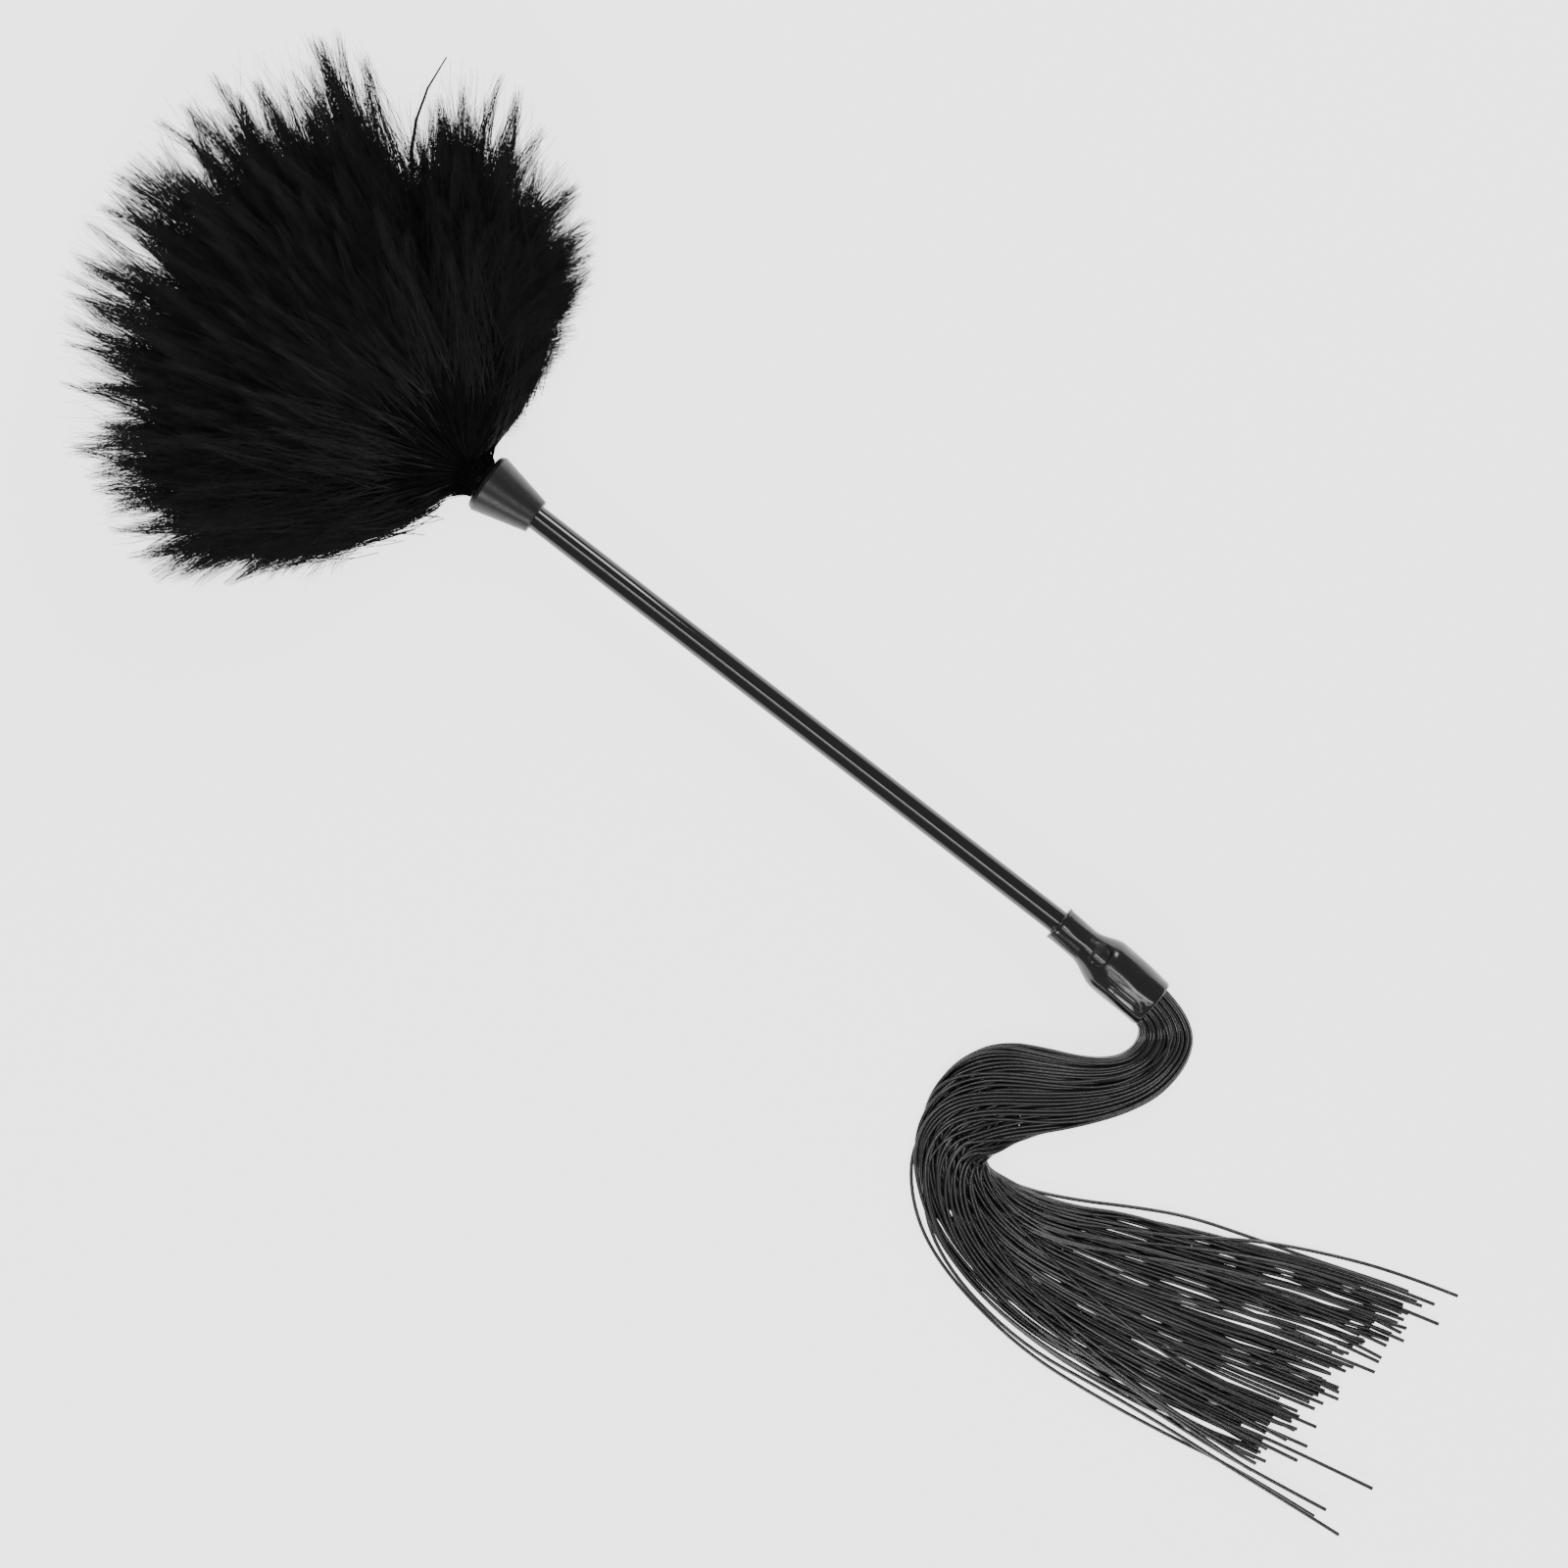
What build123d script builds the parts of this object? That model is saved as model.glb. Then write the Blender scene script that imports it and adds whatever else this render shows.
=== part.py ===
"""Feather duster with a strand tassel: plume, ferrule, rod, shrink sleeve and tassel, lying on a floor."""

import os
from math import asin, cos, degrees, hypot, pi, radians, sin, tan

import numpy as np
from build123d import *

# ---------------------------------------------------------------- driving dimensions, millimetres
X0 = -109.4  # where the rod leaves the ferrule
Y0 = 7.9
ROD_R = 3.75
ROD_VISIBLE = 193.0
ROD_IN_FERRULE = 10.0
ROD_IN_SLEEVE = 18.0

FERRULE_SMALL_R = 5.35
FERRULE_RIDGE_R = 9.2
FERRULE_RIDGE_AT = 16.8
FERRULE_LENGTH = 18.4
FERRULE_LIP_R = 8.3
FERRULE_CAVITY_R = 6.5
FERRULE_SWING = 2.6  # degrees, the ferrule sits a little askew on the rod

SLEEVE_LENGTH = 36.4
SLEEVE_NECK_R = 5.3
SLEEVE_SHOULDER_R = 8.35
SLEEVE_SHOULDER_AT = 20.5
SLEEVE_MOUTH_R = 7.85
SLEEVE_MOUTH_BORE_R = 7.05
SLEEVE_SWING = 3.2

PIN_AT = 14.6
PIN_HEAD_R = 2.35
PIN_SHANK_R = 1.2

QUILL_R = 0.65
QUILL_PITCH = 1.4
WHIPPING_AT = 20.4
FAN_AT = 22.6

STRAND_R = 0.575
STRAND_PITCH = 1.2
STRAND_GAP = 1.2
STRAND_ROOT_AT = 20.4
STRANDS_PER_NODE = 5

# the feathers: azimuth off the ferrule axis, length, for each of the three layers
LOWER_FEATHERS = [
    (-60, 72),
    (-43, 99),
    (-26, 112),
    (-9, 124),
    (8, 128),
    (25, 127),
    (42, 118),
    (59, 102),
    (76, 78),
]
MIDDLE_FEATHERS = [
    (-51, 86),
    (-34, 104),
    (-17, 116),
    (0, 122),
    (17, 126),
    (34, 118),
    (51, 106),
    (68, 88),
]
UPPER_FEATHERS = [
    (-27, 92),
    (-9, 102),
    (9, 108),
    (27, 104),
    (45, 94),
]
LAYER_RISE = [3.0, 18.2, 32.4]

# the tassel's route along the floor, from the sleeve's mouth: x, y, half width, heading in degrees
ROUTE = [
    (229.0, -2.2, 7.0, -3),
    (238.4, -5.9, 8.5, -46),
    (240.7, -13.7, 8.9, -60),
    (238.4, -22.0, 9.7, -82),
    (232.6, -29.6, 10.8, -100),
    (223.8, -37.2, 12.6, -114),
    (215.2, -44.2, 14.1, -120),
    (209.5, -52.2, 14.6, -117),
    (206.9, -61.2, 13.6, -107),
    (207.6, -68.6, 12.2, -88),
    (211.9, -74.4, 11.2, -64),
    (219.0, -78.4, 11.6, -40),
    (229.6, -81.2, 14.2, -27),
    (244.7, -81.3, 19.4, -14),
    (262.1, -78.6, 23.2, 3),
    (282.1, -73.8, 26.0, 11),
    (302.3, -67.9, 28.3, 14),
    (322.3, -61.7, 30.5, 15),
    (344.2, -55.6, 32.0, 15),
    (366.3, -50.4, 33.0, 15),
]
# how far the bundle rolls over on itself between one point of the route and the next, degrees
ROLL = [0, 0, 0, 0, 0, 4, 8, 14, 22, 26, 26, 22, 14, 6, 0, 0, 0, 0, 0, 0]

# strays along the edges of the fan, counted in from its right edge (negative: from its left edge):
# which strand, how far it bows out, how far its end leans out, where on the route it ends
STRAYS = [
    (0, -4.6, -6.5, 18.62),
    (1, -1.0, -3.0, 18.35),
    (2, -5.4, -6.0, 18.05),
    (14, 0.0, -1.0, 18.8),
    (-1, 5.2, 0.5, 18.2),
    (-16, 0.0, 2.0, 18.83),
]
# strands that lie on top of the fan and cross it: how far each wanders
CROSSINGS = [-17, 12, -11, 19, -8, 15, -20, 9, -14, 7, -6, 13]

# ---------------------------------------------------------------- the axes
ridge_to_shoulder = FERRULE_RIDGE_AT + ROD_VISIBLE + SLEEVE_SHOULDER_AT
droop = asin((FERRULE_RIDGE_R - SLEEVE_SHOULDER_R) / ridge_to_shoulder)
rod_end_z = FERRULE_RIDGE_R - FERRULE_RIDGE_AT * sin(droop)
rod_direction = Vector(cos(droop), 0, -sin(droop))
rod_leaves_ferrule = Vector(X0, Y0, rod_end_z)
rod_enters_sleeve = rod_leaves_ferrule + rod_direction * ROD_VISIBLE
plume_direction = Vector(
    -cos(radians(FERRULE_SWING)) * cos(droop),
    -sin(radians(FERRULE_SWING)) * cos(droop),
    sin(droop),
)
sleeve_direction = Vector(
    cos(radians(SLEEVE_SWING)) * cos(droop),
    -sin(radians(SLEEVE_SWING)) * cos(droop),
    -sin(droop),
)
plume_side = plume_direction.cross(Vector(0, 0, 1)).normalized()
plume_up = plume_side.cross(plume_direction).normalized()
sleeve_side = Vector(0, 0, 1).cross(sleeve_direction).normalized()
sleeve_up = sleeve_direction.cross(sleeve_side).normalized()

rod_plane = Plane(origin=rod_leaves_ferrule, x_dir=(0, 1, 0), z_dir=rod_direction)
ferrule_plane = Plane(origin=rod_leaves_ferrule, x_dir=plume_side, z_dir=plume_direction)
sleeve_plane = Plane(origin=rod_enters_sleeve, x_dir=sleeve_side, z_dir=sleeve_direction)
pin_plane = Plane(
    origin=rod_enters_sleeve + rod_direction * PIN_AT,
    x_dir=rod_direction,
    z_dir=sleeve_side.cross(rod_direction) * -1,
)


def along(plane, distance):
    """The same plane, moved along its own axis."""
    return plane.offset(distance)


def profile_plane(plane):
    """The plane in which a revolved profile is drawn: first the radius, then the axial distance."""
    return Plane(origin=plane.origin, x_dir=plane.x_dir, z_dir=plane.x_dir.cross(plane.z_dir))


def axis_of(plane):
    return Axis(plane.origin, plane.z_dir)


# ---------------------------------------------------------------- rod
with BuildPart() as handle_rod:
    with BuildSketch(along(rod_plane, -ROD_IN_FERRULE)):
        Circle(ROD_R)
    extrude(amount=ROD_IN_FERRULE + ROD_VISIBLE + ROD_IN_SLEEVE)
    with BuildSketch(along(pin_plane, -ROD_R * 0.6)):
        Circle(PIN_SHANK_R)
    extrude(amount=ROD_R * 2, mode=Mode.SUBTRACT)
handle_rod.part.label = "handle_rod"

# ---------------------------------------------------------------- ferrule
with BuildPart() as ferrule:
    with BuildSketch(profile_plane(ferrule_plane)) as ferrule_profile:
        with BuildLine():
            small_end = Polyline(
                (0, 0),
                (FERRULE_SMALL_R - 0.5, 0),
            )
            RadiusArc(small_end @ 1, (FERRULE_SMALL_R, 0.5), -0.5)
            Line((FERRULE_SMALL_R, 0.5), (FERRULE_RIDGE_R, FERRULE_RIDGE_AT))
            Line(
                (FERRULE_RIDGE_R, FERRULE_RIDGE_AT),
                (FERRULE_RIDGE_R - 0.25, FERRULE_RIDGE_AT + 0.3),
            )
            RadiusArc(
                (FERRULE_RIDGE_R - 0.25, FERRULE_RIDGE_AT + 0.3),
                (FERRULE_LIP_R - 0.4, FERRULE_LENGTH),
                -1.6,
            )
            Polyline(
                (FERRULE_LIP_R - 0.4, FERRULE_LENGTH),
                (0, FERRULE_LENGTH),
                (0, 0),
            )
        make_face()
    revolve(axis=axis_of(ferrule_plane))
    with BuildSketch(along(ferrule_plane, ROD_IN_FERRULE)):
        Circle(FERRULE_CAVITY_R)
    extrude(amount=FERRULE_LENGTH, mode=Mode.SUBTRACT)
    with BuildSketch(along(rod_plane, -ROD_IN_FERRULE)):
        Circle(ROD_R)
    extrude(amount=ROD_IN_FERRULE + 2, mode=Mode.SUBTRACT)
ferrule.part.label = "ferrule"


# ---------------------------------------------------------------- tubes for quills and strands
def corner_radii(points, largest):
    """Arcs as large as the runs beside each corner allow."""
    radii = []
    for before, here, after in zip(points, points[1:], points[2:]):
        run_in = here - before
        run_out = after - here
        half_turn = radians(run_in.get_angle(run_out)) / 2
        shorter = min(run_in.length, run_out.length)
        radii.append(min(largest, 0.45 * shorter / tan(half_turn)))
    return radii


def tube(points, radius, largest=400.0):
    """A round solid along straight runs joined by tangent arcs."""
    radii = corner_radii(points, largest)
    with BuildPart() as made:
        with BuildLine() as path:
            FilletPolyline(*points, radius=radii)
        with BuildSketch(Plane(origin=points[0], z_dir=points[1] - points[0])):
            Circle(radius)
        sweep(path=path.line)
    length = sum(edge.length for edge in path.edges())
    expected = length * pi * radius**2
    if abs(made.part.volume - expected) > 0.01 * expected:
        raise ValueError(f"tube volume {made.part.volume:.2f} is not {expected:.2f}")
    return made.part, radii, length


# ---------------------------------------------------------------- feathers
def feather_direction(azimuth, rise):
    flat = plume_direction * cos(radians(azimuth)) + plume_side * sin(radians(azimuth))
    return flat * cos(radians(rise)) + plume_up * sin(radians(rise))


def quill_sites(layer, count):
    """Where the quills of one layer stand in the round bundle, side to side in order of azimuth."""
    row_height = QUILL_PITCH * 0.87
    rows = [[-2, -1], [0, 1], [2]][layer]
    sites = []
    for index in range(count):
        row = rows[index % len(rows)]
        step = QUILL_PITCH / len(rows)
        sites.append(((index - (count - 1) / 2) * step, row * row_height))
    return sites


layers = [LOWER_FEATHERS, MIDDLE_FEATHERS, UPPER_FEATHERS]
layer_names = ["lower", "middle", "upper"]
quills = []
vanes = []
for layer, feathers in enumerate(layers):
    layer_quills = []
    sites = quill_sites(layer, len(feathers))
    for (azimuth, reach), (aside, above) in zip(feathers, sites):
        start = rod_leaves_ferrule + plume_direction * (ROD_IN_FERRULE + 0.4)
        start = start + plume_side * aside + plume_up * above
        corner = start + plume_direction * (FAN_AT - ROD_IN_FERRULE)
        widest = 0.70 * reach
        fullness = 0.135 * widest - 0.3
        rise = LAYER_RISE[layer]
        if layer == 0:
            rise = degrees(asin((fullness + 0.15 - corner.Z) / widest)) + 0.1
        heading = feather_direction(azimuth + FERRULE_SWING, rise)
        tip = corner + heading * reach * 0.8
        quill, radii, length = tube([start, corner, tip], QUILL_R, largest=9.0)
        layer_quills.append(quill)
        vane_plane = Plane(origin=corner, z_dir=heading)
        root = 15.0
        with BuildPart() as vane:
            with BuildSketch(profile_plane(vane_plane)):
                with BuildLine():
                    Polyline((0, root), (1.35, root))
                    Spline(
                        (1.35, root),
                        (0.62 * fullness, 0.44 * reach),
                        (fullness, widest),
                        (0.74 * fullness, 0.89 * reach),
                        (0.30 * fullness, 0.985 * reach),
                    )
                    Polyline(
                        (0.30 * fullness, 0.985 * reach),
                        (0, reach),
                        (0, root),
                    )
                make_face()
            revolve(axis=axis_of(vane_plane))
            with BuildSketch(vane_plane):
                Circle(QUILL_R + 0.1)
            extrude(amount=reach * 0.8 + 1.0, mode=Mode.SUBTRACT)
        vane.part.label = f"feather_{layer_names[layer]}_{len(vanes) + 1:02d}"
        vanes.append(vane.part)
    group = Compound(label=f"quills_{layer_names[layer]}", children=layer_quills)
    quills.append(group)

# ---------------------------------------------------------------- what holds the quills
with BuildPart() as ferrule_glue:
    with BuildSketch(along(ferrule_plane, ROD_IN_FERRULE + 0.9)):
        Circle(FERRULE_CAVITY_R - 0.02)
    extrude(amount=FERRULE_LENGTH - ROD_IN_FERRULE - 2.6)
    for group in quills:
        for quill in group.children:
            add(quill, mode=Mode.SUBTRACT)
ferrule_glue.part.label = "ferrule_glue"

with BuildPart() as quill_whipping:
    with BuildSketch(profile_plane(along(ferrule_plane, WHIPPING_AT - 1.6))):
        with Locations((5.1, 1.6)):
            Rectangle(0.9, 3.2)
        for turn in range(6):
            with Locations((5.55, 0.3 + turn * 0.52)):
                Circle(0.26)
    revolve(axis=axis_of(ferrule_plane))
quill_whipping.part.label = "quill_whipping"

# ---------------------------------------------------------------- sleeve
with BuildPart() as tassel_sleeve:
    with BuildSketch(profile_plane(sleeve_plane)):
        with BuildLine():
            Line((0, 0), (SLEEVE_NECK_R + 0.25, 0))
            Spline(
                (SLEEVE_NECK_R + 0.25, 0),
                (SLEEVE_NECK_R, 1.6),
                (SLEEVE_NECK_R, 7.0),
                (SLEEVE_NECK_R + 0.15, 11.5),
                (6.5, 15.2),
                (7.9, 18.2),
                (SLEEVE_SHOULDER_R - 0.1, SLEEVE_SHOULDER_AT),
                (8.15, 26.0),
                (SLEEVE_MOUTH_R, SLEEVE_LENGTH - 0.4),
            )
            Polyline(
                (SLEEVE_MOUTH_R, SLEEVE_LENGTH - 0.4),
                (SLEEVE_MOUTH_R - 0.25, SLEEVE_LENGTH),
                (0, SLEEVE_LENGTH),
                (0, 0),
            )
        make_face()
    revolve(axis=axis_of(sleeve_plane))
    with BuildSketch(profile_plane(sleeve_plane)):
        with BuildLine():
            Polyline(
                (0, ROD_IN_SLEEVE - 0.6),
                (5.2, ROD_IN_SLEEVE - 0.6),
                (7.55, SLEEVE_SHOULDER_AT - 0.2),
                (7.55, SLEEVE_SHOULDER_AT + 5),
                (SLEEVE_MOUTH_BORE_R, SLEEVE_SHOULDER_AT + 8),
                (SLEEVE_MOUTH_BORE_R, SLEEVE_LENGTH + 1),
                (0, SLEEVE_LENGTH + 1),
                (0, ROD_IN_SLEEVE - 0.6),
            )
        make_face()
    revolve(axis=axis_of(sleeve_plane), mode=Mode.SUBTRACT)
    with BuildSketch(along(rod_plane, ROD_VISIBLE - 5)):
        Circle(ROD_R)
    extrude(amount=ROD_IN_SLEEVE + 5, mode=Mode.SUBTRACT)
    with BuildSketch(along(pin_plane, ROD_R - 0.5)):
        Circle(PIN_HEAD_R + 0.15)
    extrude(amount=8, mode=Mode.SUBTRACT)
tassel_sleeve.part.label = "tassel_sleeve"

with BuildPart() as tassel_pin:
    with BuildSketch(profile_plane(pin_plane)):
        with BuildLine():
            Polyline(
                (0, -ROD_R * 0.55),
                (PIN_SHANK_R - 0.02, -ROD_R * 0.55),
                (PIN_SHANK_R - 0.02, ROD_R + 0.05),
                (PIN_HEAD_R, ROD_R + 0.15),
                (PIN_HEAD_R, 5.55),
            )
            Spline((PIN_HEAD_R, 5.55), (1.6, 6.0), (0, 6.2), tangents=[(0, 1), (-1, 0)])
            Line((0, 6.2), (0, -ROD_R * 0.55))
        make_face()
    revolve(axis=axis_of(pin_plane))
tassel_pin.part.label = "tassel_pin"

with BuildPart() as root_glue:
    with BuildSketch(profile_plane(along(sleeve_plane, ROD_IN_SLEEVE + 0.4))):
        with BuildLine():
            Polyline(
                (0, 0),
                (5.7, 0),
                (7.2, 1.7),
                (0, 1.7),
                (0, 0),
            )
        make_face()
    revolve(axis=axis_of(sleeve_plane))
root_glue.part.label = "root_glue"

with BuildPart() as root_tie:
    with BuildSketch(along(sleeve_plane, SLEEVE_SHOULDER_AT + 1.2)):
        Circle(7.5)
        Circle(SLEEVE_MOUTH_BORE_R, mode=Mode.SUBTRACT)
    extrude(amount=2.6)
root_tie.part.label = "root_tie"


# ---------------------------------------------------------------- tassel strands
def packed_roots():
    """Strand centres, aside and above the sleeve axis, in a hexagonal pack that fills the mouth."""
    limit = SLEEVE_MOUTH_BORE_R - STRAND_R - 0.04
    roots = []
    for row in range(-7, 8):
        above = row * STRAND_PITCH * 0.8661
        for step in range(-8, 9):
            aside = (step + 0.5 * (row % 2)) * STRAND_PITCH
            if hypot(aside, above) <= limit:
                roots.append((aside, above))
    return np.array(roots)


def settle(section, half_width, rounds):
    """Strands of one cross section sink on to the floor and push each other apart."""
    floor = STRAND_R + 0.05
    for turn in range(rounds):
        section[:, 1] -= 0.05 if turn < rounds * 0.7 else 0.0
        for axis_pass in range(3):
            gaps = section[:, None, :] - section[None, :, :]
            spans = np.hypot(gaps[:, :, 0], gaps[:, :, 1]) + np.eye(len(section)) * 99
            push = np.clip(STRAND_GAP - spans, 0, None) / spans / 2
            section = section + (gaps * push[:, :, None]).sum(axis=1) * 0.9
            section[:, 0] = np.clip(section[:, 0], -half_width, half_width)
            section[:, 1] = np.maximum(section[:, 1], floor)
    return section


def strand_routes():
    """The points of every strand, from its root in the sleeve to its cut end."""
    chance = np.random.default_rng(11)
    roots = packed_roots()
    count = len(roots)
    mouth = rod_enters_sleeve + sleeve_direction * SLEEVE_LENGTH
    inner = rod_enters_sleeve + sleeve_direction * STRAND_ROOT_AT
    points = []
    for aside, above in roots:
        shift = sleeve_side * aside + sleeve_up * above
        points.append([inner + shift, mouth + shift])
    section = roots.copy()
    section[:, 1] += mouth.Z
    width = ROUTE[0][2]
    drift = chance.normal(0, 0.035, count)
    ways = [(cos(radians(point[3])), sin(radians(point[3]))) for point in ROUTE]
    offsets = [section.copy()]
    for index in range(1, len(ROUTE)):
        half_width = ROUTE[index][2]
        middle = section[:, 1].mean()
        tall = max(section[:, 1].max() - middle, 1.0)
        roll = radians(ROLL[index])
        across = section[:, 0] / width
        upward = (section[:, 1] - middle) / tall
        drift = 0.6 * drift + chance.normal(0, 0.03, count)
        turned = across * cos(roll) - upward * sin(roll) + drift
        lifted = across * sin(roll) + upward * cos(roll)
        flatter = min(1.0, width / half_width)
        section = np.stack([turned * half_width, middle * flatter + lifted * tall * flatter], axis=1)
        section = settle(section, half_width, 60)
        width = half_width
        offsets.append(section.copy())
    # in the tight bend a strand keeps its place in the bundle
    for index in (10, 11, 10, 11, 10, 11, 9, 12):
        offsets[index] = 0.3 * offsets[index] + 0.35 * (offsets[index - 1] + offsets[index + 1])
    ends = [17.72 + 0.62 * value / ROUTE[-2][2] + chance.normal(0, 0.16) for value in offsets[-2][:, 0]]
    order = np.argsort(offsets[-3][:, 0])
    for place, bow, lean, end in STRAYS:
        strand = order[place]
        ends[strand] = end
        for index in range(9, len(ROUTE)):
            bowed = bow * sin(pi * min(max(index - 9, 0) / 8, 1.0))
            leaned = lean * max(index - 15, 0) / 3
            offsets[index][strand, 0] += bowed + leaned
    tops = np.argsort(-offsets[14][:, 1])
    tops = [strand for strand in tops if abs(offsets[14][strand, 0]) < 18]
    for strand, cross in zip(tops[::2], CROSSINGS):
        for index in range(12, len(ROUTE)):
            share = min(max(index - 12, 0) / 5, 1.0)
            share = share * share * (3 - 2 * share)
            offsets[index][strand, 0] += cross * share
            offsets[index][strand, 1] = max(offsets[index][strand, 1], 4.4 * min(share * 3, 1.0))
    for strand in range(count):
        end = min(max(ends[strand], 16.6), len(ROUTE) - 1.02)
        whole = int(end)
        for index in range(1, whole + 2):
            x, y, half_width, heading = ROUTE[index]
            aside, above = offsets[index][strand]
            way = ways[index]
            spot = Vector(X0 + x - way[1] * aside, Y0 + y + way[0] * aside, above)
            if index == whole + 1:
                last = points[strand][-1]
                share = end - whole
                spot = last + (spot - last) * max(share, 0.25)
            points[strand].append(spot)
    return points


routes = strand_routes()
strands = []
lengths = []
tightest = []
for route in routes:
    strand, radii, length = tube(route, STRAND_R)
    strands.append(strand)
    lengths.append(length)
    tightest.append(min(radii))
print(f"{len(strands)} strands, {min(lengths):.0f} to {max(lengths):.0f} mm long")
print("tightest arc of each strand:", " ".join(f"{radius:.1f}" for radius in tightest))

strand_nodes = []
for first in range(0, len(strands), STRANDS_PER_NODE):
    members = strands[first : first + STRANDS_PER_NODE]
    label = f"tassel_strands_{len(strand_nodes) + 1:02d}"
    strand_nodes.append(Compound(label=label, children=members))

# ---------------------------------------------------------------- files
os.makedirs("parts", exist_ok=True)
export_step(handle_rod.part, "parts/handle_rod.step")
export_step(ferrule.part, "parts/ferrule.step")
export_step(ferrule_glue.part, "parts/ferrule_glue.step")
export_step(quill_whipping.part, "parts/quill_whipping.step")
export_step(tassel_sleeve.part, "parts/tassel_sleeve.step")
export_step(tassel_pin.part, "parts/tassel_pin.step")
export_step(root_glue.part, "parts/root_glue.step")
export_step(root_tie.part, "parts/root_tie.step")
for node in quills + vanes + strand_nodes:
    export_step(node, f"parts/{node.label}.step")
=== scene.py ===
"""Feather duster with a strand tassel: the look of the plume, ferrule, rod, sleeve and strands."""

from math import asin, cos, hypot, pi, radians, sin

import bpy
import numpy as np
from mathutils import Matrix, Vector


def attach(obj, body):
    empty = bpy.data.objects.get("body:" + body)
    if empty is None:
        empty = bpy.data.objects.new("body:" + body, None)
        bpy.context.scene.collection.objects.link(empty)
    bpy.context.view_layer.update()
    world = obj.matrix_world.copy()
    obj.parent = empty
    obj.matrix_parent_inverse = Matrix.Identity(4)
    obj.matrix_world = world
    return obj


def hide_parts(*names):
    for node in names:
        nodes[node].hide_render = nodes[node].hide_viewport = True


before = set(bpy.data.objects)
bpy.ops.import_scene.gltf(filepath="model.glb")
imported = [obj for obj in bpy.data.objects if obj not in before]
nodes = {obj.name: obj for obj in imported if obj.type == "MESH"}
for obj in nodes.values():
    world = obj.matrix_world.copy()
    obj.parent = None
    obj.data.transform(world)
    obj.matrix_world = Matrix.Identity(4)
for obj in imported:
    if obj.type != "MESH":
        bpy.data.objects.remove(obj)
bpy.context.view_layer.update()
MM = 0.001

# ---------------------------------------------------------------- dimensions shared with the CAD, mm
X0 = -109.4
Y0 = 7.9
ROD_VISIBLE = 193.0
FERRULE_RIDGE_R = 9.2
FERRULE_RIDGE_AT = 16.8
FERRULE_SWING = 2.6
SLEEVE_LENGTH = 36.4
SLEEVE_NECK_R = 5.3
SLEEVE_SHOULDER_R = 8.35
SLEEVE_WIDE_R = 8.25  # before the folds are added
SLEEVE_SHOULDER_AT = 20.5
SLEEVE_MOUTH_BORE_R = 7.05
SLEEVE_SWING = 3.2
PIN_AT = 14.6
PIN_HEAD_R = 2.35
PIN_ASIDE = 0.13  # turned towards the +Y side of the sleeve, radians
STRAND_R = 0.575
STRAND_PITCH = 1.2
STRAND_GAP = 1.2
STRAND_ROOT_AT = 20.4
STRANDS_PER_NODE = 5
FAN_AT = 22.6

# the tassel's route along the floor, from the sleeve's mouth: x, y, half width, heading in degrees
ROUTE = [
    (229.0, -2.2, 7.0, -3),
    (238.4, -5.9, 8.5, -46),
    (240.7, -13.7, 8.9, -60),
    (238.4, -22.0, 9.7, -82),
    (232.6, -29.6, 10.8, -100),
    (223.8, -37.2, 12.6, -114),
    (215.2, -44.2, 14.1, -120),
    (209.5, -52.2, 14.6, -117),
    (206.9, -61.2, 13.6, -107),
    (207.6, -68.6, 12.2, -88),
    (211.9, -74.4, 11.2, -64),
    (219.0, -78.4, 11.6, -40),
    (229.6, -81.2, 14.2, -27),
    (244.7, -81.3, 19.4, -14),
    (262.1, -78.6, 23.2, 3),
    (282.1, -73.8, 26.0, 11),
    (302.3, -67.9, 28.3, 14),
    (322.3, -61.7, 30.5, 15),
    (344.2, -55.6, 32.0, 15),
    (366.3, -50.4, 33.0, 15),
]
ROLL = [0, 0, 0, 0, 0, 4, 8, 14, 22, 26, 26, 22, 14, 6, 0, 0, 0, 0, 0, 0]

# strays along the edges of the fan, counted in from its right edge (negative: from its left edge):
# which strand, how far it bows out, how far its end leans out, where on the route it ends
STRAYS = [
    (0, -4.6, -6.5, 18.62),
    (1, -1.0, -3.0, 18.35),
    (2, -5.4, -6.0, 18.05),
    (14, 0.0, -1.0, 18.8),
    (-1, 5.2, 0.5, 18.2),
    (-16, 0.0, 2.0, 18.83),
]
# strands that lie on top of the fan and cross it: how far each wanders
CROSSINGS = [-17, 12, -11, 19, -8, 15, -20, 9, -14, 7, -6, 13]

# ---------------------------------------------------------------- axes
ridge_to_shoulder = FERRULE_RIDGE_AT + ROD_VISIBLE + SLEEVE_SHOULDER_AT
droop = asin((FERRULE_RIDGE_R - SLEEVE_SHOULDER_R) / ridge_to_shoulder)
rod_direction = Vector((cos(droop), 0, -sin(droop)))
rod_leaves_ferrule = Vector((X0, Y0, FERRULE_RIDGE_R - FERRULE_RIDGE_AT * sin(droop)))
rod_enters_sleeve = rod_leaves_ferrule + rod_direction * ROD_VISIBLE
plume_direction = Vector(
    (
        -cos(radians(FERRULE_SWING)) * cos(droop),
        -sin(radians(FERRULE_SWING)) * cos(droop),
        sin(droop),
    )
)
sleeve_direction = Vector(
    (
        cos(radians(SLEEVE_SWING)) * cos(droop),
        -sin(radians(SLEEVE_SWING)) * cos(droop),
        -sin(droop),
    )
)
sleeve_side = Vector((0, 0, 1)).cross(sleeve_direction).normalized()
sleeve_up = sleeve_direction.cross(sleeve_side).normalized()


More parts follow.
